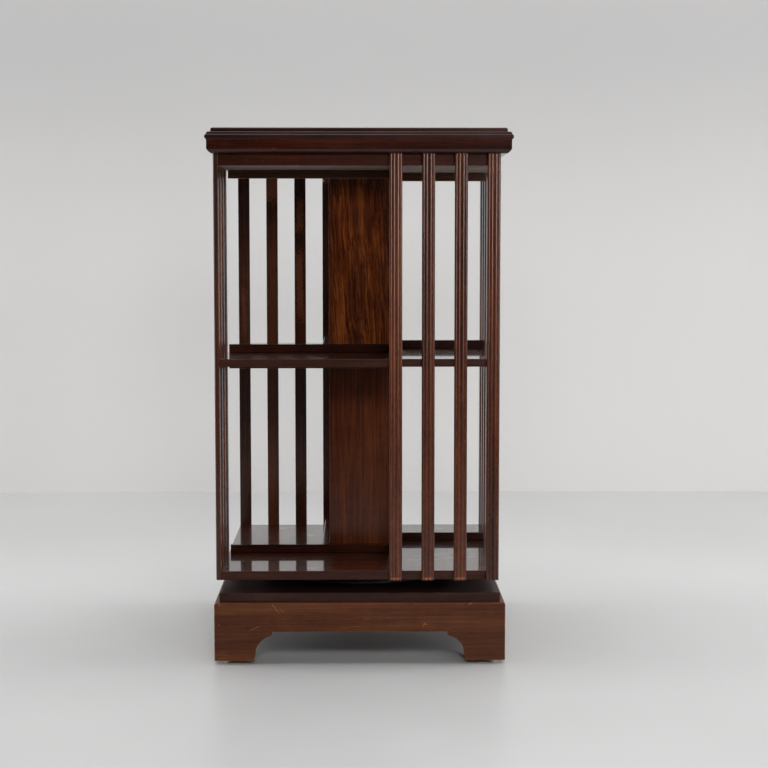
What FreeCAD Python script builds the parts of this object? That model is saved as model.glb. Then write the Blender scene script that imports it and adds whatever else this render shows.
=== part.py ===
import FreeCAD, Part
import math
import os

# Revolving bookcase.  A square carcass of two tiers, each with four open compartments set round
# a hollow column like the sails of a windmill, turns on a ball race over a plinth with bracket
# feet.  Millimetres, +Z up.  The origin is on the floor, under the axis the carcass turns about,
# and the front faces -Y.

V = FreeCAD.Vector
Z_AXIS = V(0, 0, 1)
QUARTER_BULGE = 1 - math.sqrt(0.5)              # height of a quarter circle's arc over its chord
SIDES = ("front", "right", "back", "left")      # each one is the last turned by 90 degrees

# ---- heights, from the floor up ---------------------------------------------------------------
GLIDE_HEIGHT = 6.0
PLINTH_HEIGHT = 92.5
BASE_TOP_THICK = 15.0
SWIVEL_GAP = 20.8               # from the base top to the underside of the bottom shelf
BOTTOM_SHELF_THICK = 14.3
LOWER_TIER_CLEAR = 325.8
MIDDLE_SHELF_THICK = 12.5
UPPER_TIER_CLEAR = 302.7
CARCASS_TOP_THICK = 18.4
FRIEZE_HEIGHT = 20.5
MOULDED_TOP_THICK = 19.5

# ---- widths of the square pieces -------------------------------------------------------------
CARCASS_WIDTH = 442.0           # the shelves, without the slats
FRIEZE_OVERHANG = 16.3          # frieze face beyond the shelf edge
BEAD_OVERHANG = 2.7             # widest line of the moulded top beyond the frieze face
BASE_TOP_WIDTH = 447.0
PLINTH_LEDGE = 8.0              # plinth face beyond the base top

# ---- slats -------------------------------------------------------------------------------------
SLATS_PER_SIDE = 4
SLAT_WIDTH = 20.5
SLAT_THICK = 8.0
EDGE_REED_WIDTH = 4.1           # the two outer reeds; the two inner ones share the rest
REED_DEPTH = 1.6
EDGE_REED_DROP = 3.0            # how far the outer reed falls away at the slat's side
SLAT_ARRIS = 0.6

# ---- column and book stops ------------------------------------------------------------------
COLUMN_WIDTH = 102.0
COLUMN_PANEL_THICK = 12.0
COLUMN_BLOCK = 14.0             # square glue blocks in the column's corners
STOP_WIDTH = 12.0
STOP_HEIGHT = 14.0
STOP_END_GAP = 3.5              # between a stop's end and the slats

# ---- frieze, top and base mouldings -----------------------------------------------------------
FRIEZE_DEPTH = 48.0             # how far each frieze board reaches in
FRIEZE_CHAMFER = 7.0
TOP_ROUND = 3.4                 # the moulded top's upper arris
TOP_STEP = 6.2                  # width of its upper step
STEP_DROP = 6.4                 # the step's depth below the top surface
STEP_ROUND = 3.2
BEAD_HEIGHT = 8.4
BASE_TOP_ROUND = 1.8
PLINTH_BOARD_THICK = 16.0
PLINTH_ROUND = 3.0
BOARD_ARRIS = 0.8

# ---- bracket feet ------------------------------------------------------------------------------
FOOT_WIDTH = 62.5               # along the floor, from the plinth's corner
FOOT_FLARE = 2.0                # the foot is this much wider where its cove begins
FOOT_STRAIGHT = 8.0             # straight stretch below the cove
COVE_RADIUS = 33.0
COVE_RUN = 27.0                 # how far the cove reaches in along the board, up to the step
COVE_STEP = 6.0                 # square step between the cove and the arch's flat top
CORNER_BLOCK = 38.0

# ---- glides ------------------------------------------------------------------------------------
GLIDE_RADIUS = 7.5
GLIDE_FLAT_RADIUS = 5.5
GLIDE_NAIL_RADIUS = 1.1
GLIDE_NAIL_LENGTH = 16.0
GLIDE_INSET = 15.5              # from the plinth's faces

# ---- turntable -----------------------------------------------------------------------------------
RACE_RADIUS = 132.0             # circle of the ball centres
RACE_INNER_RADIUS = 118.0
RACE_OUTER_RADIUS = 152.0
RACE_THICK = 4.5
RACE_SPLIT = 2.0                # between the two races
BALL_RADIUS = 4.0
BALL_COUNT = 24
BALL_PLAY = 0.3
CAGE_THICK = 1.2
CAGE_WIDTH = 14.0
CAGE_HOLE_PLAY = 0.2
RACE_SCREW_CIRCLE = 144.5
RACE_SCREW_COUNT = 6
SPACER_OVERHANG = 10.0          # the round spacer beyond the races

# ---- pivot bolt --------------------------------------------------------------------------------
BOLT_RADIUS = 5.0
BOLT_RUNNING_FIT = 0.05         # radial
BOLT_HEAD_FLATS = 17.0
BOLT_HEAD_THICK = 6.5
BOLT_END = 3.0                  # bolt beyond its nut
NUT_THICK = 9.0
WASHER_RADIUS = 14.0
WASHER_THICK = 2.0
BUSH_RADIUS = 8.0
BUSH_FLANGE_RADIUS = 13.0
BUSH_FLANGE_THICK = 2.0
RUNNING_GAP = 0.4               # axial, between turning and standing pieces

# ---- screws and pins --------------------------------------------------------------------------
SCREW_HEAD_ANGLE = 45.0
RACE_SCREW = {"shank": 1.75, "head": 3.6, "length": 11.0}
TOP_SCREW = {"shank": 2.2, "head": 4.3, "length": 50.0}
BASE_SCREW = {"shank": 2.2, "head": 4.3, "length": 50.0}
SCREW_SLOT_WIDTH = 0.9
SCREW_SLOT_DEPTH = 0.9
SCREW_TIP = 2.5
BASE_SCREW_SINK = 52.0          # the base screws' heads lie this deep in the corner blocks
SCREW_CLEAR = 3.0               # from the top screws' heads to the pins' ends
PIN_RADIUS = 0.9
PIN_LENGTH = 22.0
PIN_SINK = 0.8                  # pin heads below the groove between the reeds

# ---- worked out from the above ------------------------------------------------------------------
PLINTH_BOTTOM = GLIDE_HEIGHT
PLINTH_TOP = PLINTH_BOTTOM + PLINTH_HEIGHT
BASE_TOP = PLINTH_TOP + BASE_TOP_THICK
BOTTOM_SHELF_UNDER = BASE_TOP + SWIVEL_GAP
BOTTOM_SHELF_TOP = BOTTOM_SHELF_UNDER + BOTTOM_SHELF_THICK
MIDDLE_SHELF_UNDER = BOTTOM_SHELF_TOP + LOWER_TIER_CLEAR
MIDDLE_SHELF_TOP = MIDDLE_SHELF_UNDER + MIDDLE_SHELF_THICK
CEILING = MIDDLE_SHELF_TOP + UPPER_TIER_CLEAR
CARCASS_TOP = CEILING + CARCASS_TOP_THICK
FRIEZE_TOP = CARCASS_TOP + FRIEZE_HEIGHT
OVERALL_HEIGHT = FRIEZE_TOP + MOULDED_TOP_THICK

CARCASS_HALF = CARCASS_WIDTH / 2
FRIEZE_HALF = CARCASS_HALF + FRIEZE_OVERHANG
BEAD_HALF = FRIEZE_HALF + BEAD_OVERHANG
BASE_TOP_HALF = BASE_TOP_WIDTH / 2
PLINTH_HALF = BASE_TOP_HALF + PLINTH_LEDGE
COLUMN_HALF = COLUMN_WIDTH / 2
STOP_LINE = COLUMN_HALF + STOP_WIDTH / 2
RACE_STACK = 2 * RACE_THICK + RACE_SPLIT
SPACER_THICK = SWIVEL_GAP - RACE_STACK
BALL_HEIGHT = BASE_TOP + RACE_STACK / 2
PIN_LEVELS = (
    BOTTOM_SHELF_UNDER + BOTTOM_SHELF_THICK / 2,
    MIDDLE_SHELF_UNDER + MIDDLE_SHELF_THICK / 2,
    CEILING + CARCASS_TOP_THICK / 2,
)


# ---- small helpers --------------------------------------------------------------------------------
def block(x_range, y_range, z_range):
    """Rectangular solid between two limits on each axis."""
    corner = V(x_range[0], y_range[0], z_range[0])
    size = [high - low for low, high in (x_range, y_range, z_range)]
    return Part.makeBox(*size, corner)


def square_block(half, z_range):
    return block((-half, half), (-half, half), z_range)


def rod(radius, z_range, x=0.0, y=0.0):
    """Upright cylinder between two heights."""
    return Part.makeCylinder(radius, z_range[1] - z_range[0], V(x, y, z_range[0]))


def turned(shape, quarters):
    """Copy of a shape turned about Z by so many quarter turns."""
    copy = shape.copy()
    copy.rotate(V(0, 0, 0), Z_AXIS, 90.0 * quarters)
    return copy


def moved(shape, x=0.0, y=0.0, z=0.0):
    copy = shape.copy()
    copy.translate(V(x, y, z))
    return copy


def all_round(shape):
    """The shape and its three copies, one for each side."""
    return [turned(shape, quarters) for quarters in range(len(SIDES))]


def ring_places(radius, count):
    """Points evenly spaced on a circle, the first half a step round from +X."""
    step = 2 * math.pi / count
    angles = [(index + 0.5) * step for index in range(count)]
    return [(radius * math.cos(angle), radius * math.sin(angle)) for angle in angles]


def outline_face(corners):
    """Face in the XZ plane.  A corner is (x, z, bulge): the edge that leaves it is straight when
    the bulge is 0, and else an arc whose middle stands that far to the left of its chord."""
    edges = []
    for (x0, z0, bulge), (x1, z1, _) in zip(corners, corners[1:] + corners[:1]):
        start = V(x0, 0, z0)
        end = V(x1, 0, z1)
        if bulge:
            left = V(z0 - z1, 0, x1 - x0).normalize()
            middle = (start + end) * 0.5 + left * bulge
            edges.append(Part.Arc(start, middle, end).toShape())
        else:
            edges.append(Part.LineSegment(start, end).toShape())
    return Part.Face(Part.Wire(edges))


def with_mirror(right_edge):
    """Closed outline from its right-hand edge, listed from the top down, and that edge's mirror
    image in X = 0."""
    bulges = [0.0] + [bulge for _, _, bulge in right_edge[:-1]]
    left_edge = [(-x, z, bulge) for (x, z, _), bulge in zip(reversed(right_edge), reversed(bulges))]
    return list(right_edge) + left_edge


def square_board(right_edge):
    """Square board whose four edges all have the same moulded outline, mitred at the corners."""
    reach = 2 * max(x for x, _, _ in right_edge)
    bar = moved(outline_face(with_mirror(right_edge)), y=-reach).extrude(V(0, 2 * reach, 0))
    return bar.common(turned(bar, 1))


def mitred_sides(ring):
    """The front piece of a square ring, cut along its diagonals, and its three copies."""
    bounds = ring.BoundBox
    reach = bounds.XLength
    corners = [V(0, 0, bounds.ZMin), V(-reach, -reach, bounds.ZMin), V(reach, -reach, bounds.ZMin)]
    wedge = Part.Face(Part.makePolygon(corners + corners[:1])).extrude(V(0, 0, bounds.ZLength))
    return all_round(ring.common(wedge))


def upright_edges(shape, half):
    """The vertical edges that stand at the corners of a square of this half width."""
    found = []
    for edge in shape.Edges:
        box = edge.BoundBox
        at_corner = abs(abs(box.XMin) - half) < 1e-6 and abs(abs(box.YMin) - half) < 1e-6
        if at_corner and box.ZLength > box.XLength + box.YLength:
            found.append(edge)
    return found


def hexagon(flats, z_range):
    """Upright hexagonal prism, by the distance across its flats."""
    radius = flats / math.sqrt(3)
    angles = [index * math.pi / 3 for index in range(6)]
    corners = [V(radius * math.cos(a), radius * math.sin(a), z_range[0]) for a in angles]
    face = Part.Face(Part.makePolygon(corners + corners[:1]))
    return face.extrude(V(0, 0, z_range[1] - z_range[0]))


def group(solids):
    return Part.makeCompound(solids)


def cut_all(shape, tools):
    return shape.cut(group(tools))


# ---- screws and pins ------------------------------------------------------------------------------
def screw(spec, x, y, z):
    """Slotted countersunk screw that points up, with its head's face at z."""
    shank, head, length = spec["shank"], spec["head"], spec["length"]
    cone_depth = (head - shank) / math.tan(math.radians(SCREW_HEAD_ANGLE))
    cone = Part.makeCone(head, shank, cone_depth)
    body = rod(shank, (cone_depth / 2, length - SCREW_TIP))
    tip = Part.makeCone(shank, shank / 4, SCREW_TIP, V(0, 0, length - SCREW_TIP))
    slot_half = SCREW_SLOT_WIDTH / 2
    slot = block((-head, head), (-slot_half, slot_half), (-SCREW_SLOT_DEPTH, SCREW_SLOT_DEPTH))
    return moved(cone.fuse([body, tip]).removeSplitter().cut(slot), x, y, z)


def downward(shape, z):
    """The shape turned over about the horizontal plane at z."""
    copy = shape.copy()
    copy.rotate(V(0, 0, z), V(1, 0, 0), 180.0)
    return copy


def screw_bore(spec, x, y, z):
    """Room for a screw that points up: the same shape, with no slot."""
    shank, head, length = spec["shank"], spec["head"], spec["length"]
    cone_depth = (head - shank) / math.tan(math.radians(SCREW_HEAD_ANGLE))
    cone = Part.makeCone(head, shank, cone_depth)
    return moved(cone.fuse(rod(shank, (cone_depth / 2, length))), x, y, z)


def race_screw_places():
    return ring_places(RACE_SCREW_CIRCLE, RACE_SCREW_COUNT)


def upper_race_screws(make):
    face = BALL_HEIGHT + RACE_SPLIT / 2
    return [make(RACE_SCREW, x, y, face) for x, y in race_screw_places()]


def lower_race_screws(make):
    face = BALL_HEIGHT - RACE_SPLIT / 2
    return [downward(make(RACE_SCREW, x, y, face), face) for x, y in race_screw_places()]


def top_screws(make):
    """Two on each side, up through the carcass top and the frieze into the moulded top.  They
    stand further in than the slats' pins reach."""
    line = pin_head_line() - PIN_LENGTH - TOP_SCREW["head"] - SCREW_CLEAR
    pair = [make(TOP_SCREW, x, -line, CEILING) for x in (-line / 2, line / 2)]
    return [turned(one, quarters) for one in pair for quarters in range(len(SIDES))]


def base_screws(make):
    """One up through each corner block into the base top."""
    place = corner_block_centre()
    return all_round(make(BASE_SCREW, place, -place, PLINTH_BOTTOM + BASE_SCREW_SINK))


def slat_centres():
    """Distances of the slats from the middle of a side.  The first stands over the end of the
    next compartment's stop and the last is flush with the carcass corner."""
    first = STOP_LINE
    last = CARCASS_HALF - SLAT_WIDTH / 2
    step = (last - first) / (SLATS_PER_SIDE - 1)
    return [first + index * step for index in range(SLATS_PER_SIDE)]


def pin_head_line():
    return CARCASS_HALF + SLAT_THICK - REED_DEPTH - PIN_SINK


def slat_pins():
    """Pins of the front side, through each slat into the edges of the three boards."""
    direction = V(0, 1, 0)
    return [Part.makeCylinder(PIN_RADIUS, PIN_LENGTH, V(x, -pin_head_line(), z), direction)
            for x in slat_centres() for z in PIN_LEVELS]


def pin_holes(z):
    """Holes in a board's four edges for the pins at one level, open to the outside."""
    length = PIN_LENGTH + CARCASS_HALF + SLAT_THICK - pin_head_line()
    start = -CARCASS_HALF - SLAT_THICK
    holes = [Part.makeCylinder(PIN_RADIUS, length, V(x, start, z), V(0, 1, 0))
             for x in slat_centres()]
    return [turned(hole, quarters) for hole in holes for quarters in range(len(SIDES))]


# ---- base -----------------------------------------------------------------------------------------
def corner_block_centre():
    return PLINTH_HALF - PLINTH_BOARD_THICK - CORNER_BLOCK / 2


def arch_face():
    """Outline of the space between two bracket feet, as seen from the front."""
    foot = PLINTH_HALF - FOOT_WIDTH
    cove_foot = foot - FOOT_FLARE
    cove_height = PLINTH_BOTTOM + FOOT_STRAIGHT
    cove_rise = math.sqrt(COVE_RADIUS**2 - (COVE_RADIUS - COVE_RUN)**2)
    cove_top = cove_height + cove_rise
    flat_half = cove_foot - COVE_RUN
    bulge = COVE_RADIUS - math.sqrt(COVE_RADIUS**2 - (COVE_RUN**2 + cove_rise**2) / 4)
    right_edge = [
        (flat_half, cove_top + COVE_STEP, 0.0),
        (flat_half, cove_top, bulge),
        (cove_foot, cove_height, 0.0),
        (foot, PLINTH_BOTTOM, 0.0),
        (foot, 0.0, 0.0),
    ]
    return outline_face(with_mirror(right_edge))


def plinth_boards():
    outline = [
        (PLINTH_HALF - PLINTH_ROUND, PLINTH_TOP, PLINTH_ROUND * QUARTER_BULGE),
        (PLINTH_HALF, PLINTH_TOP - PLINTH_ROUND, 0.0),
        (PLINTH_HALF, PLINTH_BOTTOM, 0.0),
    ]
    hollow = square_block(PLINTH_HALF - PLINTH_BOARD_THICK, (0, PLINTH_TOP))
    reach = 2 * PLINTH_HALF
    arch = moved(arch_face(), y=-reach).extrude(V(0, 2 * reach, 0))
    ring = square_board(outline).cut([hollow, arch, turned(arch, 1)])
    ring = ring.makeFillet(BOARD_ARRIS, upright_edges(ring, PLINTH_HALF))
    nail_holes = all_round(glide_nail())
    return [cut_all(board, nail_holes) for board in mitred_sides(ring)]


def corner_blocks():
    centre = corner_block_centre()
    half = CORNER_BLOCK / 2
    one = block((centre - half, centre + half), (-centre - half, -centre + half),
                (PLINTH_BOTTOM, PLINTH_TOP))
    head_well = rod(BASE_SCREW["head"], (PLINTH_BOTTOM, PLINTH_BOTTOM + BASE_SCREW_SINK),
                    centre, -centre)
    shank = screw_bore(BASE_SCREW, centre, -centre, PLINTH_BOTTOM + BASE_SCREW_SINK)
    return all_round(one.cut([head_well, shank, glide_nail()]))


def glide_centre():
    return PLINTH_HALF - GLIDE_INSET


def glide_nail():
    top = GLIDE_HEIGHT + GLIDE_NAIL_LENGTH
    return rod(GLIDE_NAIL_RADIUS, (GLIDE_HEIGHT, top), glide_centre(), -glide_centre())


def glides():
    """Round nail-on glides with a domed rim, one under each foot."""
    rim = GLIDE_RADIUS - GLIDE_FLAT_RADIUS
    half_outline = [
        (0.0, GLIDE_HEIGHT, 0.0),
        (GLIDE_RADIUS, GLIDE_HEIGHT, 0.0),
        (GLIDE_RADIUS, rim, rim * QUARTER_BULGE),
        (GLIDE_FLAT_RADIUS, 0.0, 0.0),
        (0.0, 0.0, 0.0),
    ]
    button = outline_face(half_outline).revolve(V(0, 0, 0), Z_AXIS, 360)
    one = moved(button, glide_centre(), -glide_centre()).fuse(glide_nail())
    return all_round(one)


def base_top_board():
    """Board with a rounded upper edge, bored for the pivot bush and the screws."""
    outline = [
        (BASE_TOP_HALF - BASE_TOP_ROUND, BASE_TOP, BASE_TOP_ROUND * QUARTER_BULGE),
        (BASE_TOP_HALF, BASE_TOP - BASE_TOP_ROUND, 0.0),
        (BASE_TOP_HALF, PLINTH_TOP, 0.0),
    ]
    board = square_board(outline)
    bush_hole = rod(BUSH_RADIUS, (PLINTH_TOP, BASE_TOP))
    flange_seat = rod(BUSH_FLANGE_RADIUS, (BASE_TOP - BUSH_FLANGE_THICK, BASE_TOP))
    return cut_all(board, [bush_hole, flange_seat]
                   + base_screws(screw_bore) + lower_race_screws(screw_bore))


# ---- turntable ------------------------------------------------------------------------------------
def race(z_range, screws):
    """Flat steel ring with a groove for the balls on the side that faces them."""
    groove = Part.makeTorus(RACE_RADIUS, BALL_RADIUS + BALL_PLAY, V(0, 0, BALL_HEIGHT))
    ring = rod(RACE_OUTER_RADIUS, z_range).cut(rod(RACE_INNER_RADIUS, z_range))
    return cut_all(ring.cut(groove), screws)


def lower_race():
    return race((BASE_TOP, BASE_TOP + RACE_THICK), lower_race_screws(screw_bore))


def upper_race():
    under = BALL_HEIGHT + RACE_SPLIT / 2
    return race((under, under + RACE_THICK), upper_race_screws(screw_bore))


def ball_places():
    return ring_places(RACE_RADIUS, BALL_COUNT)


def bearing_balls():
    return [Part.makeSphere(BALL_RADIUS, V(x, y, BALL_HEIGHT)) for x, y in ball_places()]


def ball_cage():
    """Thin ring that keeps the balls apart, each in its own hole."""
    z_range = (BALL_HEIGHT - CAGE_THICK / 2, BALL_HEIGHT + CAGE_THICK / 2)
    ring = rod(RACE_RADIUS + CAGE_WIDTH / 2, z_range).cut(rod(RACE_RADIUS - CAGE_WIDTH / 2, z_range))
    holes = [rod(BALL_RADIUS + CAGE_HOLE_PLAY, z_range, x, y) for x, y in ball_places()]
    return cut_all(ring, holes)


def spacer_disc():
    """Round wooden spacer between the upper race and the bottom shelf."""
    radius = RACE_OUTER_RADIUS + SPACER_OVERHANG
    disc = rod(radius, (BOTTOM_SHELF_UNDER - SPACER_THICK, BOTTOM_SHELF_UNDER))
    disc = disc.makeChamfer(BOARD_ARRIS, [edge for edge in disc.Edges if edge.Closed])
    return cut_all(disc, [bolt_bore()] + upper_race_screws(screw_bore))


# ---- pivot ----------------------------------------------------------------------------------------
def washer_top():
    return PLINTH_TOP - RUNNING_GAP


def nut_top():
    return washer_top() - WASHER_THICK


def bolt_bore():
    return rod(BOLT_RADIUS, (0, OVERALL_HEIGHT))


def pivot_bolt():
    """Hexagon-head bolt, down through the bottom shelf, the spacer and the bush."""
    end = nut_top() - NUT_THICK - BOLT_END
    shank = rod(BOLT_RADIUS, (end, BOTTOM_SHELF_TOP))
    head = hexagon(BOLT_HEAD_FLATS, (BOTTOM_SHELF_TOP, BOTTOM_SHELF_TOP + BOLT_HEAD_THICK))
    return shank.fuse(head)


def pivot_bush():
    """Flanged bush in the base top, in which the pivot bolt turns."""
    sleeve = rod(BUSH_RADIUS, (PLINTH_TOP, BASE_TOP))
    flange = rod(BUSH_FLANGE_RADIUS, (BASE_TOP - BUSH_FLANGE_THICK, BASE_TOP))
    bore = rod(BOLT_RADIUS + BOLT_RUNNING_FIT, (PLINTH_TOP, BASE_TOP))
    return sleeve.fuse(flange).cut(bore).removeSplitter()


def pivot_washer():
    return rod(WASHER_RADIUS, (nut_top(), washer_top())).cut(bolt_bore())


def pivot_nut():
    return hexagon(BOLT_HEAD_FLATS, (nut_top() - NUT_THICK, nut_top())).cut(bolt_bore())


# ---- carcass --------------------------------------------------------------------------------------
def shelf(z_range, bores):
    """Square board with softened edges."""
    board = square_block(CARCASS_HALF, z_range)
    board = board.makeFillet(BOARD_ARRIS, board.Edges)
    return cut_all(board, bores + pin_holes(sum(z_range) / 2))


def bottom_shelf():
    return shelf((BOTTOM_SHELF_UNDER, BOTTOM_SHELF_TOP), [bolt_bore()] + upper_race_screws(screw_bore))


def middle_shelf():
    return shelf((MIDDLE_SHELF_UNDER, MIDDLE_SHELF_TOP), [])


def carcass_top_board():
    return shelf((CEILING, CARCASS_TOP), top_screws(screw_bore))


def column_panels(z_range):
    """Four mitred boards round a hollow, between two shelves."""
    outside = square_block(COLUMN_HALF, z_range)
    outside = outside.makeFillet(BOARD_ARRIS, upright_edges(outside, COLUMN_HALF))
    return mitred_sides(outside.cut(square_block(COLUMN_HALF - COLUMN_PANEL_THICK, z_range)))


def column_blocks(z_range):
    """Glue blocks that stand in the column's four inner corners."""
    outer = COLUMN_HALF - COLUMN_PANEL_THICK
    inner = outer - COLUMN_BLOCK
    return all_round(block((inner, outer), (-outer, -inner), z_range))


def book_stops(z_low):
    """Four strips round the column.  Each runs from the slats of one side, past the column's
    face, to the stop of the next compartment."""
    strip = block((STOP_END_GAP - CARCASS_HALF, COLUMN_HALF),
                  (-COLUMN_HALF - STOP_WIDTH, -COLUMN_HALF), (z_low, z_low + STOP_HEIGHT))
    long_edges = [edge for edge in strip.Edges if edge.BoundBox.XLength > STOP_WIDTH]
    return all_round(strip.makeChamfer(BOARD_ARRIS, long_edges))


def slat_face():
    """Section of a slat of the front side at x = 0: plain behind, four reeds in front.  It is
    drawn in XZ with the reeds up."""
    half = SLAT_WIDTH / 2
    groove = SLAT_THICK - REED_DEPTH
    reed_edge = half - EDGE_REED_WIDTH
    outer_bulge = REED_DEPTH * 0.75
    right_edge = [
        (0.0, groove, REED_DEPTH),
        (reed_edge, groove, outer_bulge),
        (half, SLAT_THICK - EDGE_REED_DROP, 0.0),
        (half, SLAT_ARRIS, 0.0),
        (half - SLAT_ARRIS, 0.0, 0.0),
    ]
    return outline_face(with_mirror(right_edge)[:-1])


def slats():
    """The front side's slats, from the middle of the side to its corner."""
    bar = slat_face().extrude(V(0, CARCASS_TOP - BOTTOM_SHELF_UNDER, 0))
    bar.rotate(V(0, 0, 0), V(1, 0, 0), 90.0)
    bar = moved(bar, y=-CARCASS_HALF, z=BOTTOM_SHELF_UNDER)
    pins = slat_pins()
    return [cut_all(moved(bar, x=x), pins) for x in slat_centres()]


# ---- top ------------------------------------------------------------------------------------------
def frieze_boards():
    """Mitred boards between the carcass and the moulded top, chamfered below."""
    outline = [
        (FRIEZE_HALF, FRIEZE_TOP, 0.0),
        (FRIEZE_HALF, CARCASS_TOP + FRIEZE_CHAMFER, BOARD_ARRIS),
        (FRIEZE_HALF - FRIEZE_CHAMFER, CARCASS_TOP, 0.0),
    ]
    hollow = square_block(FRIEZE_HALF - FRIEZE_DEPTH, (CARCASS_TOP, FRIEZE_TOP))
    bores = top_screws(screw_bore)
    return [cut_all(board, bores) for board in mitred_sides(square_board(outline).cut(hollow))]


def moulded_top():
    """Top board with two rounded steps over a bead.  The bead is flush with the frieze at its
    foot and stands out beyond it at its crown."""
    step_line = FRIEZE_HALF - TOP_STEP
    step_top = OVERALL_HEIGHT - STEP_DROP
    bead_foot = FRIEZE_TOP + BOARD_ARRIS
    outline = [
        (step_line - TOP_ROUND, OVERALL_HEIGHT, TOP_ROUND * QUARTER_BULGE),
        (step_line, OVERALL_HEIGHT - TOP_ROUND, 0.0),
        (step_line, step_top, 0.0),
        (FRIEZE_HALF - STEP_ROUND, step_top, STEP_ROUND * QUARTER_BULGE),
        (FRIEZE_HALF, step_top - STEP_ROUND, 0.0),
        (FRIEZE_HALF, bead_foot + BEAD_HEIGHT, BEAD_OVERHANG),
        (FRIEZE_HALF, bead_foot, 0.0),
        (FRIEZE_HALF, FRIEZE_TOP, 0.0),
    ]
    return cut_all(square_board(outline), top_screws(screw_bore))


# ---- all the nodes ---------------------------------------------------------------------------------
def by_side(stem, shapes):
    return {f"{stem}_{side}": shape for side, shape in zip(SIDES, shapes)}


def slat_nodes():
    """Sixteen slats, four to a side, each side the last one turned by a quarter."""
    return {f"slat_{side}_{number}": turned(slat, quarters)
            for quarters, side in enumerate(SIDES)
            for number, slat in enumerate(slats(), start=1)}


def base_nodes():
    nodes = by_side("plinth", plinth_boards())
    nodes["plinth_corner_blocks"] = group(corner_blocks())
    nodes["foot_glides"] = group(glides())
    nodes["base_top_board"] = base_top_board()
    nodes["base_screws"] = group(base_screws(screw))
    return nodes


def turntable_nodes():
    return {
        "lower_race": lower_race(),
        "lower_race_screws": group(lower_race_screws(screw)),
        "bearing_balls": group(bearing_balls()),
        "ball_cage": ball_cage(),
        "upper_race": upper_race(),
        "upper_race_screws": group(upper_race_screws(screw)),
        "spacer_disc": spacer_disc(),
        "pivot_bush": pivot_bush(),
        "pivot_bolt": pivot_bolt(),
        "pivot_washer": pivot_washer(),
        "pivot_nut": pivot_nut(),
    }


def carcass_nodes():
    lower_tier = (BOTTOM_SHELF_TOP, MIDDLE_SHELF_UNDER)
    upper_tier = (MIDDLE_SHELF_TOP, CEILING)
    nodes = {
        "bottom_shelf": bottom_shelf(),
        "middle_shelf": middle_shelf(),
        "carcass_top_board": carcass_top_board(),
        "lower_column_blocks": group(column_blocks(lower_tier)),
        "upper_column_blocks": group(column_blocks(upper_tier)),
        "bottom_shelf_stops": group(book_stops(BOTTOM_SHELF_TOP)),
        "under_middle_stops": group(book_stops(MIDDLE_SHELF_UNDER - STOP_HEIGHT)),
        "middle_shelf_stops": group(book_stops(MIDDLE_SHELF_TOP)),
        "ceiling_stops": group(book_stops(CEILING - STOP_HEIGHT)),
        "slat_pins": group([pin for one in slat_pins() for pin in all_round(one)]),
        "top_screws": group(top_screws(screw)),
        "moulded_top": moulded_top(),
    }
    nodes.update(by_side("lower_column", column_panels(lower_tier)))
    nodes.update(by_side("upper_column", column_panels(upper_tier)))
    nodes.update(by_side("frieze", frieze_boards()))
    nodes.update(slat_nodes())
    return nodes


def write(nodes):
    os.makedirs("parts", exist_ok=True)
    for name, shape in sorted(nodes.items()):
        if not shape.isValid() or not shape.Solids:
            raise ValueError(f"{name} is not a sound solid")
        shape.exportStep(f"parts/{name}.step")
        print(f"{name}: {len(shape.Solids)} solids, {shape.Volume / 1000:.1f} cm3")
    print(f"{len(nodes)} nodes, {2 * BEAD_HALF:.1f} wide, {OVERALL_HEIGHT:.1f} high")


write({**base_nodes(), **turntable_nodes(), **carcass_nodes()})
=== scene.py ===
import math
import random

import bpy
import numpy as np
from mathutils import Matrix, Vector


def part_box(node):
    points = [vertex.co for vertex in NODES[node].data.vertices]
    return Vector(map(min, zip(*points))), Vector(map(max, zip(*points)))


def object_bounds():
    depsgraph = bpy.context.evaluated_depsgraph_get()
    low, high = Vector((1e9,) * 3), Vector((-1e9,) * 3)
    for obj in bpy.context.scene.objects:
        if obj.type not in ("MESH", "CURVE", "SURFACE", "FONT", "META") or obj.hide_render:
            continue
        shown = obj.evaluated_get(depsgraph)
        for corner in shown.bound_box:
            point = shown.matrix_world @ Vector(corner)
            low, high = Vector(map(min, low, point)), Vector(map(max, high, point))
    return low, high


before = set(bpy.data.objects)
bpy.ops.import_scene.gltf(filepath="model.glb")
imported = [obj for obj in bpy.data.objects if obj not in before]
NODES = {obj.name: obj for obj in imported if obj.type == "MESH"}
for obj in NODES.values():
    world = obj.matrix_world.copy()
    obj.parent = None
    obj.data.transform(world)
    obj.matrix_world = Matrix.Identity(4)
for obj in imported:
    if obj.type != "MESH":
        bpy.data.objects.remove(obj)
CAD_LOW, CAD_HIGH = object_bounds()

# ---------------------------------------------------------------- the view

CAMERA_AT = (-0.0020, -2.8456, 0.6668)
CAMERA_LENS = 78.2              # mm, on a sensor 36 mm wide
CAMERA_PITCH = 4.78             # degrees, down
CAMERA_TURN = 0.885             # degrees, to the right

camera_data = bpy.data.cameras.new("camera")
camera_data.sensor_width = 36.0
camera_data.lens = CAMERA_LENS
camera_data.clip_start = 0.1
camera_data.clip_end = 50.0
camera = bpy.data.objects.new("camera", camera_data)
camera.location = CAMERA_AT
camera.rotation_euler = (math.radians(90 - CAMERA_PITCH), 0, -math.radians(CAMERA_TURN))
bpy.context.scene.collection.objects.link(camera)
bpy.context.scene.camera = camera
bpy.context.scene.view_settings.view_transform = "Standard"


# ---------------------------------------------------------------- shader building

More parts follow.
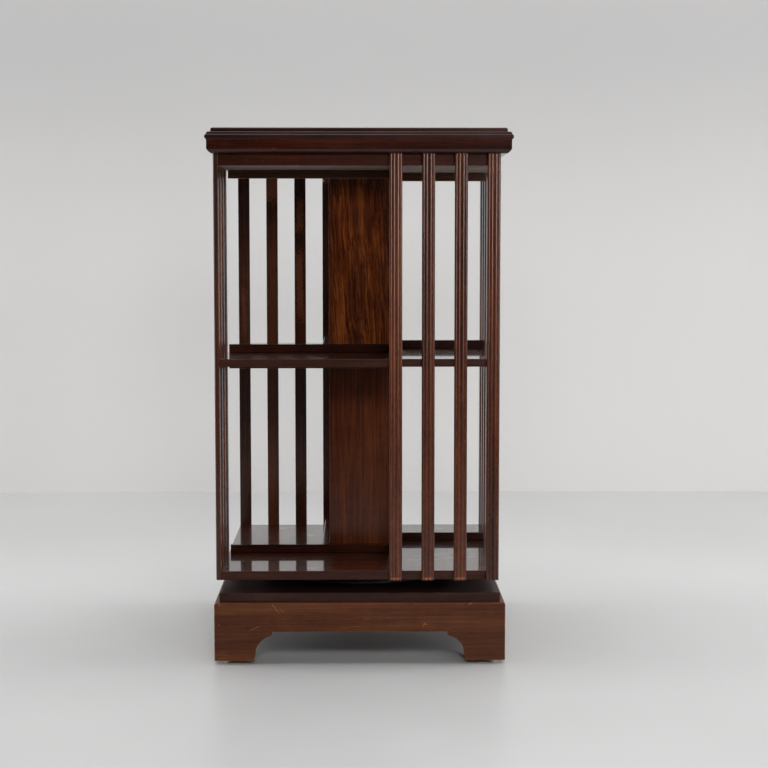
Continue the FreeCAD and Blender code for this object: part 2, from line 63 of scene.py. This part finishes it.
class Shader:
    """One material, and short ways to add nodes to it."""

    def __init__(self, name):
        self.material = bpy.data.materials.new(name)
        self.material.use_nodes = True
        self.tree = self.material.node_tree
        self.tree.nodes.clear()

    def node(self, kind, inputs=None, **settings):
        made = self.tree.nodes.new(kind)
        for key, value in settings.items():
            setattr(made, key, value)
        for key, value in (inputs or {}).items():
            self.put(made.inputs[key], value)
        return made

    def put(self, socket, value):
        if isinstance(value, bpy.types.NodeSocket):
            self.tree.links.new(value, socket)
        else:
            socket.default_value = value

    def maths(self, operation, *values):
        made = self.node("ShaderNodeMath", dict(enumerate(values)), operation=operation)
        return made.outputs[0]

    def shifted(self, pattern, share, base):
        """The base value, moved by a pattern's distance from its middle times a share."""
        return self.maths("MULTIPLY_ADD", self.maths("SUBTRACT", pattern, 0.5), share, base)

    def scaled(self, vector, factors):
        made = self.node("ShaderNodeVectorMath", {0: vector, 1: factors}, operation="MULTIPLY")
        return made.outputs[0]

    def noise(self, vector, detail=2.0, roughness=0.5, distortion=0.0):
        made = self.node("ShaderNodeTexNoise", {
            "Vector": vector, "Scale": 1.0, "Detail": detail,
            "Roughness": roughness, "Distortion": distortion})
        return made.outputs["Fac"]

    def between(self, value, low, high, to_low=0.0, to_high=1.0):
        made = self.node("ShaderNodeMapRange", {
            "Value": value, "From Min": low, "From Max": high,
            "To Min": to_low, "To Max": to_high}, interpolation_type="SMOOTHSTEP")
        return made.outputs[0]

    def ramp(self, value, stops):
        made = self.node("ShaderNodeValToRGB", {"Fac": value})
        bar = made.color_ramp
        while len(bar.elements) < len(stops):
            bar.elements.new(0.5)
        for element, (place, colour) in zip(bar.elements, stops):
            element.position = place
            element.color = (*colour, 1.0)
        return made.outputs["Color"]

    def mix(self, share, under, over):
        """A colour socket with another colour laid over it, as much as the share says."""
        made = self.node("ShaderNodeMix", data_type="RGBA")
        self.put(made.inputs[0], share)
        self.put(made.inputs[6], under)
        self.put(made.inputs[7], (*over, 1.0))
        return made.outputs[2]

    def clear_behind(self, paint):
        """The given shader on the front of a face, and nothing at all on its back."""
        clear = self.node("ShaderNodeBsdfTransparent")
        behind = self.node("ShaderNodeNewGeometry").outputs["Backfacing"]
        mixed = self.node("ShaderNodeMixShader", {
            0: behind, 1: paint.outputs[0], 2: clear.outputs[0]})
        return mixed.outputs[0]

    def finish(self, surface):
        self.node("ShaderNodeOutputMaterial", {"Surface": surface})


# ---------------------------------------------------------------- grain coordinates

def islands(mesh):
    """The solid that each vertex belongs to, as a list of index arrays."""
    count = len(mesh.vertices)
    places = np.zeros(count * 3, np.float64)
    mesh.vertices.foreach_get("co", places)
    places = places.reshape(-1, 3)
    microns = np.round(places * 1e6).astype(np.int64)
    _, joined = np.unique(microns, axis=0, return_inverse=True)
    joined = joined.ravel()
    edges = np.zeros(len(mesh.edges) * 2, np.int64)
    mesh.edges.foreach_get("vertices", edges)
    a, b = joined[edges.reshape(-1, 2)].T
    label = np.arange(joined.max() + 1)
    while True:
        lowest = np.minimum(label[a], label[b])
        fresh = label.copy()
        np.minimum.at(fresh, a, lowest)
        np.minimum.at(fresh, b, lowest)
        fresh = fresh[fresh]
        if (fresh == label).all():
            break
        label = fresh
    owner = label[joined]
    return places, [np.flatnonzero(owner == k) for k in np.unique(owner)]


def lay_grain(node, seed):
    """Gives a wooden node's vertices coordinates that run along each solid's own grain, and
    one shade value for each solid."""
    mesh = NODES[node].data
    places, solids = islands(mesh)
    shifts = random.Random(seed)
    grain = np.zeros_like(places)
    shade = np.zeros(len(places))
    for solid in solids:
        size = np.round(np.ptp(places[solid], axis=0), 4)
        along = int(size.argmax())
        order = [along, (along + 1) % 3, (along + 2) % 3]
        shift = [shifts.uniform(-40, 40) for _ in range(3)]
        grain[solid] = places[solid][:, order] + shift
        shade[solid] = shifts.uniform(-1, 1)
    layer = mesh.attributes.new("grain", "FLOAT_VECTOR", "POINT")
    layer.data.foreach_set("vector", grain.astype(np.float32).ravel())
    tint = mesh.attributes.new("tint", "FLOAT", "POINT")
    tint.data.foreach_set("value", shade.astype(np.float32))


# ---------------------------------------------------------------- materials

# How many times each pattern of the wood changes in a metre: along the grain, then across it.
CURL = (7, 15, 15)
BANDS = (1.6, 22, 22)
STREAKS = (9, 330, 330)
HAIRS = (28, 1500, 1500)
MOTTLE = (34, 9, 9)
PORES = (70, 2600, 2600)
CHIPS = (160, 220, 220)
SMEARS = (11, 14, 14)
EDGE_REACH = 0.0016             # how far from an edge the polish is rubbed


def wood(name, dark, mid, light, polish=0.12, figure=1.0, streak=1.0, wear=0.5, coat=1.0,
         flame=0.0, tight=1.0, spread=0.25, marks=()):
    """Polished mahogany: banded figure, fine streaks, pores, rubbed edges, marks and a clear coat.
    polish is the coat's roughness, figure and streak are the strengths of the broad and the fine
    grain, flame tilts and curls the figure, tight narrows its bands, and spread is the difference
    in tone from board to board."""
    s = Shader(name)
    grain = s.node("ShaderNodeAttribute", attribute_name="grain").outputs["Vector"]
    tint = s.node("ShaderNodeAttribute", attribute_name="tint").outputs["Fac"]
    if flame:
        curl = s.shifted(s.noise(s.scaled(grain, CURL)), 0.05 * flame, 0.0)
        parts = s.node("ShaderNodeSeparateXYZ", {0: grain}).outputs
        lean = s.maths("MULTIPLY_ADD", parts["X"], 0.2 * flame, curl)
        bent = s.node("ShaderNodeCombineXYZ", {
            "X": parts["X"], "Y": s.maths("ADD", parts["Y"], lean),
            "Z": s.maths("ADD", parts["Z"], lean)})
        grain = bent.outputs[0]
    bands = s.noise(s.scaled(grain, tuple(tight * n for n in BANDS)), detail=3, distortion=0.5)
    fine = s.noise(s.scaled(grain, STREAKS), detail=3, roughness=0.6)
    hair = s.noise(s.scaled(grain, HAIRS))
    mottle = s.noise(s.scaled(grain, MOTTLE), distortion=0.3)
    tone = s.shifted(bands, 1.5 * figure, 0.5)
    tone = s.shifted(fine, 0.9 * streak, tone)
    tone = s.shifted(hair, 0.3 * streak, tone)
    tone = s.shifted(mottle, 0.3, tone)
    tone = s.maths("MULTIPLY_ADD", tint, 0.5 * spread, tone)
    colour = s.ramp(tone, [(0.12, dark), (0.5, mid), (0.88, light)])
    pores = s.between(s.noise(s.scaled(grain, PORES), detail=0), 0.66, 0.74)
    colour = s.mix(s.maths("MULTIPLY", pores, 0.7), colour, tuple(0.35 * c for c in dark))
    true_normal = s.node("ShaderNodeNewGeometry").outputs["Normal"]
    soft_normal = s.node("ShaderNodeBevel", {"Radius": EDGE_REACH}, samples=4).outputs["Normal"]
    facing = s.node("ShaderNodeVectorMath", {0: true_normal, 1: soft_normal},
                    operation="DOT_PRODUCT")
    edge = s.between(facing.outputs["Value"], 0.995, 0.86)
    chips = s.noise(s.scaled(grain, CHIPS), detail=3)
    rub = s.maths("MULTIPLY", edge, s.between(chips, 0.42, 0.7))
    worn = tuple(min(1.0, 2.6 * c) for c in light)
    colour = s.mix(s.maths("MULTIPLY", rub, wear), colour, worn)
    place = s.node("ShaderNodeTexCoord").outputs["Object"]
    for mark in marks:
        colour = s.mix(mark(s, place), colour, worn)
    smears = s.noise(s.scaled(grain, SMEARS), detail=3, roughness=0.6)
    roughness = s.between(smears, 0.3, 0.75, polish * 1.6 + 0.18, polish * 2.6 + 0.24)
    height = s.maths("SUBTRACT", fine, s.maths("MULTIPLY", pores, 0.8))
    bump = s.node("ShaderNodeBump", {"Strength": 0.12, "Distance": 0.0002, "Height": height})
    shader = s.node("ShaderNodeBsdfPrincipled", {
        "Base Color": colour, "Roughness": roughness, "Normal": bump.outputs[0],
        "Specular IOR Level": 0.05, "Coat Weight": coat, "Coat Roughness": polish, "Coat IOR": 1.5})
    s.finish(shader.outputs[0])
    return s.material


MARK_DEPTH = 0.005              # a mark reaches this far in from the node's front
MARK_RAGGED = (500, 500, 500)


def scratch(node, across, up, length, width, slope=0.0, strength=0.8):
    """A mark on the front of a node: its middle as shares of the node's box, its size in metres
    and its slope in degrees.  The result builds the mark's mask in a given shader."""
    low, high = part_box(node)
    x = low.x + across * (high.x - low.x)
    z = low.z + up * (high.z - low.z)
    c = math.cos(math.radians(slope))
    n = math.sin(math.radians(slope))

    def mask(s, place):
        def reach(direction, middle, half):
            run = s.node("ShaderNodeVectorMath", {0: place, 1: direction},
                         operation="DOT_PRODUCT")
            offset = s.maths("SUBTRACT", run.outputs["Value"], middle)
            return s.maths("DIVIDE", s.maths("ABSOLUTE", offset), half)

        far = s.maths("MAXIMUM", reach((c, 0, n), c * x + n * z, length / 2),
                      reach((-n, 0, c), c * z - n * x, width / 2))
        far = s.maths("MAXIMUM", far, reach((0, 1, 0), low.y, MARK_DEPTH))
        far = s.shifted(s.noise(s.scaled(place, MARK_RAGGED)), 1.6, far)
        return s.maths("MULTIPLY", s.between(far, 1.0, 0.55), strength)
    return mask


def scratches(node, *rows):
    return tuple(scratch(node, *row) for row in rows)


def metal(name, colour, roughness, brushed=1.0):
    """Plated or turned metal with fine marks and a duller bloom in places."""
    s = Shader(name)
    place = s.node("ShaderNodeTexCoord").outputs["Object"]
    marks = s.noise(s.scaled(place, (900, 900, 120)))
    bloom = s.noise(s.scaled(place, (60, 60, 60)), detail=3)
    shade = s.ramp(bloom, [(0.3, tuple(0.72 * c for c in colour)), (0.7, colour)])
    rough = s.between(marks, 0.3, 0.7, roughness * 0.8, roughness * 1.35)
    bump = s.node("ShaderNodeBump", {
        "Strength": 0.15 * brushed, "Distance": 0.0001, "Height": marks})
    shader = s.node("ShaderNodeBsdfPrincipled", {
        "Base Color": shade, "Metallic": 1.0, "Roughness": rough, "Normal": bump.outputs[0]})
    s.finish(shader.outputs[0])
    return s.material


NYLON_ROUGHNESS = 0.42


def plastic(name, colour):
    """Moulded nylon with a fine orange-peel surface and a little yellowing."""
    s = Shader(name)
    place = s.node("ShaderNodeTexCoord").outputs["Object"]
    cloud = s.noise(s.scaled(place, (90, 90, 90)), detail=3)
    peel = s.noise(s.scaled(place, (1800, 1800, 1800)), detail=1)
    aged = tuple(c * k for c, k in zip(colour, (0.86, 0.8, 0.7)))
    shade = s.ramp(cloud, [(0.35, aged), (0.65, colour)])
    rough = s.between(cloud, 0.3, 0.7, NYLON_ROUGHNESS * 0.85, NYLON_ROUGHNESS * 1.2)
    bump = s.node("ShaderNodeBump", {"Strength": 0.1, "Distance": 0.0001, "Height": peel})
    shader = s.node("ShaderNodeBsdfPrincipled", {
        "Base Color": shade, "Roughness": rough, "Normal": bump.outputs[0],
        "Subsurface Weight": 0.15, "Subsurface Scale": 0.002})
    s.finish(shader.outputs[0])
    return s.material


# Each recipe's colours are linear, for the darkest, the middle and the palest grain.
MAHOGANY = {
    "top": dict(
        dark=(0.012, 0.003, 0.002), mid=(0.03, 0.0075, 0.0045), light=(0.062, 0.0165, 0.01),
        polish=0.32, coat=0.35),
    "frieze": dict(
        dark=(0.011, 0.0022, 0.0008), mid=(0.029, 0.005, 0.0018), light=(0.064, 0.013, 0.0045),
        coat=0.7),
    "rail": dict(
        dark=(0.011, 0.0022, 0.001), mid=(0.029, 0.006, 0.0025), light=(0.056, 0.013, 0.0055),
        polish=0.25, coat=0.45),
    "shelf_edge": dict(
        dark=(0.02, 0.006, 0.003), mid=(0.036, 0.011, 0.0065), light=(0.065, 0.021, 0.013),
        polish=0.35, coat=0.3, wear=0.7),
    "shelf": dict(
        dark=(0.02, 0.005, 0.003), mid=(0.045, 0.013, 0.007), light=(0.085, 0.027, 0.016),
        polish=0.05),
    "slat": dict(
        dark=(0.032, 0.0075, 0.003), mid=(0.08, 0.019, 0.007), light=(0.15, 0.041, 0.015),
        polish=0.27, coat=0.85, spread=0.12, wear=0.8),
    # The side slats are a darker copy of the front slat wood: painted shade.
    "side_slat": dict(
        dark=(0.027, 0.007, 0.003), mid=(0.06, 0.016, 0.0065), light=(0.115, 0.034, 0.014),
        polish=0.27, coat=0.85, wear=0.8),
    # The back slats are a darker copy again: painted shade.
    "back_slat": dict(
        dark=(0.024, 0.0065, 0.003), mid=(0.05, 0.0145, 0.006), light=(0.095, 0.03, 0.0125),
        polish=0.24, spread=0.3),
    "upper_column": dict(
        dark=(0.028, 0.0045, 0.0008), mid=(0.1, 0.021, 0.0038), light=(0.215, 0.056, 0.01),
        polish=0.1, figure=1.1, streak=2.1, flame=0.32, tight=2.0),
    "lower_column": dict(
        dark=(0.026, 0.0045, 0.001), mid=(0.07, 0.0145, 0.004), light=(0.13, 0.034, 0.01),
        polish=0.2, coat=0.6, streak=1.2),
    "stop": dict(
        dark=(0.012, 0.002, 0.0006), mid=(0.028, 0.0055, 0.0018), light=(0.06, 0.014, 0.005)),
    # A paler copy of the stop wood for the stops under the ceiling: painted light.
    "ceiling_stop": dict(
        dark=(0.03, 0.009, 0.003), mid=(0.07, 0.022, 0.007), light=(0.12, 0.045, 0.016)),
    "base": dict(
        dark=(0.012, 0.0035, 0.002), mid=(0.025, 0.0075, 0.005), light=(0.05, 0.017, 0.011),
        polish=0.3, coat=0.35),
    "plinth": dict(
        dark=(0.042, 0.01, 0.003), mid=(0.088, 0.023, 0.0065), light=(0.14, 0.044, 0.013),
        polish=0.3, coat=0.4, wear=0.9),
    # A paler, greyer wood for the underside of the top board: a painted reflection of the bright
    # wall.
    "painted_reflection": dict(
        dark=(0.1, 0.07, 0.055), mid=(0.17, 0.125, 0.1), light=(0.24, 0.18, 0.15),
        polish=0.5, coat=0.3, wear=0.2),
    "softwood": dict(
        dark=(0.3, 0.17, 0.07), mid=(0.45, 0.3, 0.15), light=(0.6, 0.44, 0.25),
        polish=0.6, coat=0.0, wear=0.2),
}
# A recipe with marks: the recipe it comes from, then each mark's across, up, length, width,
# slope and strength.
MARKED = {
    "front_plinth": ("plinth", scratches(
        "plinth_front",
        (0.21, 0.91, 0.02, 0.0014, -53),
        (0.23, 0.88, 0.012, 0.001, -50, 0.5),
        (0.14, 0.57, 0.018, 0.0014, 27, 0.6),
        (0.72, 0.62, 0.009, 0.0016, 60),
        (0.725, 0.63, 0.008, 0.0014, -10),
        (0.88, 0.985, 0.007, 0.0018, 25),
        (0.018, 0.965, 0.003, 0.002, 40),
        (0.015, 0.63, 0.003, 0.002, 0, 0.6),
        (0.47, 0.585, 0.034, 0.0014, 3, 0.35),
        (0.60, 0.74, 0.012, 0.001, -20, 0.3),
        (0.152, 0.15, 0.028, 0.0024, 66, 0.75))),
    "front_frieze": ("frieze", scratches(
        "frieze_front",
        (0.22, 0.33, 0.006, 0.002, 15, 0.7),
        (0.03, 0.5, 0.005, 0.0014, 35, 0.4),
        (0.61, 0.6, 0.008, 0.001, -12, 0.3))),
    "front_rail": ("rail", scratches(
        "carcass_top_board",
        (0.10, 0.45, 0.004, 0.002, 20, 0.5),
        (0.16, 0.4, 0.003, 0.002, -20, 0.4))),
    "middle": ("shelf", scratches(
        "middle_shelf",
        (0.597, 0.55, 0.003, 0.002),
        (0.33, 0.8, 0.016, 0.0015, 4, 0.3))),
    "back_slat": ("back_slat", (
        scratch("slat_back_3", 0.5, 0.94, 0.055, 0.03, 90, 0.75),
        scratch("slat_back_2", 0.5, 0.87, 0.07, 0.017, 88, 0.45),
        scratch("slat_back_2", 0.45, 0.68, 0.14, 0.015, 91, 0.35),
        scratch("slat_back_4", 0.5, 0.6, 0.1, 0.012, 90, 0.2))),
    "slat": ("slat", tuple(
        scratch(f"slat_front_{number}", 0.5, 0.0045, 0.017, 0.004, 0, 0.75)
        for number in (1, 2, 3))),
}
for marked, (plain, marks) in MARKED.items():
    MAHOGANY[marked] = dict(MAHOGANY[plain], marks=marks)
SLAT_KINDS = {"front": "slat", "right": "side_slat", "back": "back_slat", "left": "side_slat"}
WOODEN = {
    "moulded_top": "top",
    "carcass_top_board": "front_rail",
    "middle_shelf": "middle",
    "bottom_shelf": "shelf",
    "bottom_shelf_stops": "stop",
    "under_middle_stops": "stop",
    "middle_shelf_stops": "stop",
    "ceiling_stops": "ceiling_stop",
    "base_top_board": "base",
    "spacer_disc": "base",
    "lower_column_blocks": "softwood",
    "upper_column_blocks": "softwood",
    "plinth_corner_blocks": "softwood",
}
for side, slat_kind in SLAT_KINDS.items():
    WOODEN[f"frieze_{side}"] = "frieze"
    WOODEN[f"plinth_{side}"] = "plinth"
    WOODEN[f"lower_column_{side}"] = "lower_column"
    WOODEN[f"upper_column_{side}"] = "upper_column"
    for number in range(1, 5):
        WOODEN[f"slat_{side}_{number}"] = slat_kind
WOODEN["plinth_front"] = "front_plinth"
WOODEN["frieze_front"] = "front_frieze"
STEEL = metal("plated_steel", (0.5, 0.5, 0.51), 0.35)
RACE_STEEL = metal("race_steel", (0.09, 0.09, 0.095), 0.55)
OTHERS = {
    "foot_glides": plastic("glide_nylon", (0.85, 0.75, 0.64)),
    "ball_cage": plastic("cage_nylon", (0.7, 0.68, 0.6)),
    "lower_race": RACE_STEEL,
    "upper_race": RACE_STEEL,
    "bearing_balls": metal("ball_steel", (0.75, 0.76, 0.77), 0.08, 0.2),
    "pivot_bolt": STEEL,
    "pivot_washer": STEEL,
    "pivot_nut": STEEL,
    "base_screws": STEEL,
    "lower_race_screws": STEEL,
    "upper_race_screws": STEEL,
    "top_screws": STEEL,
    "pivot_bush": metal("bush_brass", (0.6, 0.42, 0.18), 0.3),
    "slat_pins": metal("pin_brass", (0.5, 0.35, 0.15), 0.4),
}

WOOD_MATERIALS = {kind: wood(f"{kind}_wood", **recipe) for kind, recipe in MAHOGANY.items()}

# ---------------------------------------------------------------- edges, and who gets what

# How far each kind's sharp edges are rounded.
EDGE = {"top": 0.0006, "shelf": 0.0007, "middle": 0.0007, "slat": 0.0003, "side_slat": 0.0003,
        "stop": 0.0008, "ceiling_stop": 0.0008, "base": 0.0006, "plinth": 0.0008,
        "front_plinth": 0.0008}
PLAIN_EDGE = 0.0005
EDGE_ANGLE = 35                 # degrees; a sharper edge is rounded
REED_ANGLE = 60                 # the same on slats, so that fewer edges of the reeds are rounded


def ease_edges(node, width, angle):
    """Welds a node's faces together and rounds its sharp edges a little, with modifiers."""
    thing = NODES[node]
    weld = thing.modifiers.new("weld", "WELD")
    weld.merge_threshold = 1e-5
    flat = thing.modifiers.new("flat", "DECIMATE")
    flat.decimate_type = "DISSOLVE"
    flat.angle_limit = math.radians(0.5)
    soft = thing.modifiers.new("soft", "BEVEL")
    soft.width = width
    soft.segments = 2
    soft.limit_method = "ANGLE"
    soft.angle_limit = math.radians(angle)
    thing.modifiers.new("shade", "WEIGHTED_NORMAL")


def give_material(node, material):
    NODES[node].data.materials.clear()
    NODES[node].data.materials.append(material)


def give_second_material(node, material, chosen):
    """The same node's other material, on the faces whose upward slope is chosen."""
    mesh = NODES[node].data
    mesh.materials.append(material)
    for polygon in mesh.polygons:
        polygon.material_index = int(chosen(polygon.normal.z))


def faces_down(slope):
    return slope < -0.9


def is_upright(slope):
    return abs(slope) < 0.5


for number, (node, kind) in enumerate(sorted(WOODEN.items())):
    lay_grain(node, number)
    give_material(node, WOOD_MATERIALS[kind])
    ease_edges(node, EDGE.get(kind, PLAIN_EDGE), REED_ANGLE if "slat" in kind else EDGE_ANGLE)
# The top board's underside gets the paler wood, a painted reflection.
give_second_material("carcass_top_board", WOOD_MATERIALS["painted_reflection"], faces_down)
give_second_material("middle_shelf", WOOD_MATERIALS["shelf_edge"], is_upright)
give_second_material("bottom_shelf", WOOD_MATERIALS["shelf_edge"], is_upright)
for node, material in OTHERS.items():
    give_material(node, material)

# ---------------------------------------------------------------- studio

WALL_AT = 1.63                  # from the turning axis to each wall
WALL_CORNER = 0.6               # radius of the room's corners in plan
WALL_HEIGHT = 4.0
CORNER_STEPS = 12
FLOOR_DROP = 0.0002             # the floor lies this far under the glides


def wall_outline():
    """A square with round corners, as plan points, starting on the right wall."""
    points = []
    for quarter in range(4):
        for step in range(CORNER_STEPS + 1):
            angle = math.radians(90 * step / CORNER_STEPS)
            x = WALL_AT - WALL_CORNER + WALL_CORNER * math.cos(angle)
            y = WALL_AT - WALL_CORNER + WALL_CORNER * math.sin(angle)
            for _ in range(quarter):
                x, y = -y, x
            points.append((x, y))
    return points


def backdrop_material():
    """Pale paper, darker high up and paler near the floor as painted shade and painted light, and
    not seen from behind.
    """
    s = Shader("backdrop")
    place = s.node("ShaderNodeTexCoord").outputs["Object"]
    cloud = s.noise(s.scaled(place, (0.8, 0.8, 0.8)))
    height = s.node("ShaderNodeSeparateXYZ", {0: place}).outputs["Z"]
    # Painted shade darkens the paper high up; painted light pales it near the floor.
    upper = s.between(height, 0.55, 1.25)
    lower = s.between(height, 0.7, 0.0)
    tone = s.maths("MULTIPLY_ADD", upper, -0.7, s.maths("MULTIPLY_ADD", cloud, 0.2, 0.6))
    tone = s.maths("MULTIPLY_ADD", lower, 0.3, tone)
    shade = s.ramp(tone, [(0.0, (0.47, 0.465, 0.465)), (1.0, (0.69, 0.682, 0.672))])
    paint = s.node("ShaderNodeBsdfPrincipled", {
        "Base Color": shade, "Roughness": 0.8, "Specular IOR Level": 0.2})
    s.finish(s.clear_behind(paint))
    return s.material


def floor_material():
    """A pale satin floor, not seen from below."""
    s = Shader("floor")
    place = s.node("ShaderNodeTexCoord").outputs["Object"]
    cloud = s.noise(s.scaled(place, (1.5, 1.5, 1.5)), detail=4)
    shade = s.ramp(cloud, [(0.3, (0.51, 0.51, 0.51)), (0.7, (0.56, 0.56, 0.56))])
    rough = s.between(cloud, 0.3, 0.7, 0.34, 0.4)
    paint = s.node("ShaderNodeBsdfPrincipled", {"Base Color": shade, "Roughness": rough})
    s.finish(s.clear_behind(paint))
    return s.material


def add_stage(name, points, faces, material):
    mesh = bpy.data.meshes.new(name)
    mesh.from_pydata(points, [], faces)
    mesh.materials.append(material)
    thing = bpy.data.objects.new(name, mesh)
    bpy.context.scene.collection.objects.link(thing)
    return thing


ground = CAD_LOW.z - FLOOR_DROP
corners = [(x * WALL_AT, y * WALL_AT, ground) for x, y in ((-1, -1), (1, -1), (1, 1), (-1, 1))]
add_stage("floor", corners, [(0, 1, 2, 3)], floor_material())

# The wall behind lights the object and shows in its polish; the others are only seen.
outline = wall_outline()
wall_points = [(x, y, height) for height in (ground, WALL_HEIGHT) for x, y in outline]
count = len(outline)
behind_faces = []
round_faces = []
for a in range(count):
    b = (a + 1) % count
    behind = min(wall_points[a][1], wall_points[b][1]) > 0.5 * WALL_AT
    (behind_faces if behind else round_faces).append((a, a + count, b + count, b))
paper = backdrop_material()
behind = add_stage("backdrop_behind", wall_points, behind_faces, paper)
behind.visible_shadow = False
around = add_stage("backdrop_round", wall_points, round_faces, paper)
around.visible_shadow = False
around.visible_diffuse = False
around.visible_glossy = False


def softbox(name, at, target, size, power, colour=(1, 1, 1)):
    data = bpy.data.lights.new(name, "AREA")
    data.shape = "RECTANGLE"
    data.size, data.size_y = size
    data.energy = power
    data.color = colour
    lamp = bpy.data.objects.new(name, data)
    lamp.location = at
    lamp.visible_camera = False
    lamp.rotation_euler = (Vector(target) - Vector(at)).to_track_quat("-Z", "Y").to_euler()
    bpy.context.scene.collection.objects.link(lamp)
    return lamp


SIDE_AT = 2.4                   # the side lamps stand this far out
SIDE_BACK = 0.15                # and this far behind the turning axis
SIDE_SIZE = (0.9, 1.5)
SIDE_TARGET = (0, SIDE_BACK, 0.5)
FILL_HEIGHT = 1.35
SHINE_HEIGHT = 0.9
SHINE_SHARE = 0.5               # of the fill lamp's power
AMBIENT = (0.5, 0.5, 0.5, 1)
AMBIENT_STRENGTH = 0.04

# A fill lamp lights surfaces but isn't mirrored in them; a shine lamp is only mirrored.
for name, x, power in (("right", SIDE_AT, 36), ("left", -SIDE_AT, 32)):
    fill = softbox(f"side_{name}", (x, SIDE_BACK, FILL_HEIGHT), SIDE_TARGET, SIDE_SIZE, power)
    fill.visible_glossy = False
    shine = softbox(f"shine_{name}", (x, SIDE_BACK, SHINE_HEIGHT), SIDE_TARGET, SIDE_SIZE,
                    SHINE_SHARE * power)
    shine.visible_diffuse = False
softbox("overhead", (0, 0.1, 2.9), (0, 0.1, 0), (2.2, 2.0), 54)
front = softbox("front", (0.1, -2.24, 1.27), (0, 0, 0.5), (0.5, 0.42), 19)
front.visible_glossy = False
softbox("strip", (1.25, -2.1, 0.95), (0, -0.2, 0.6), (0.22, 1.2), 10)
glint = softbox("glint", (1.05, -2.2, 1.15), (0, -0.2, 0.7), (0.3, 1.1), 26, (1, 0.95, 0.94))
glint.visible_diffuse = False

world = bpy.data.worlds.new("world")
world.use_nodes = True
world.node_tree.nodes["Background"].inputs[0].default_value = AMBIENT
world.node_tree.nodes["Background"].inputs[1].default_value = AMBIENT_STRENGTH
bpy.context.scene.world = world
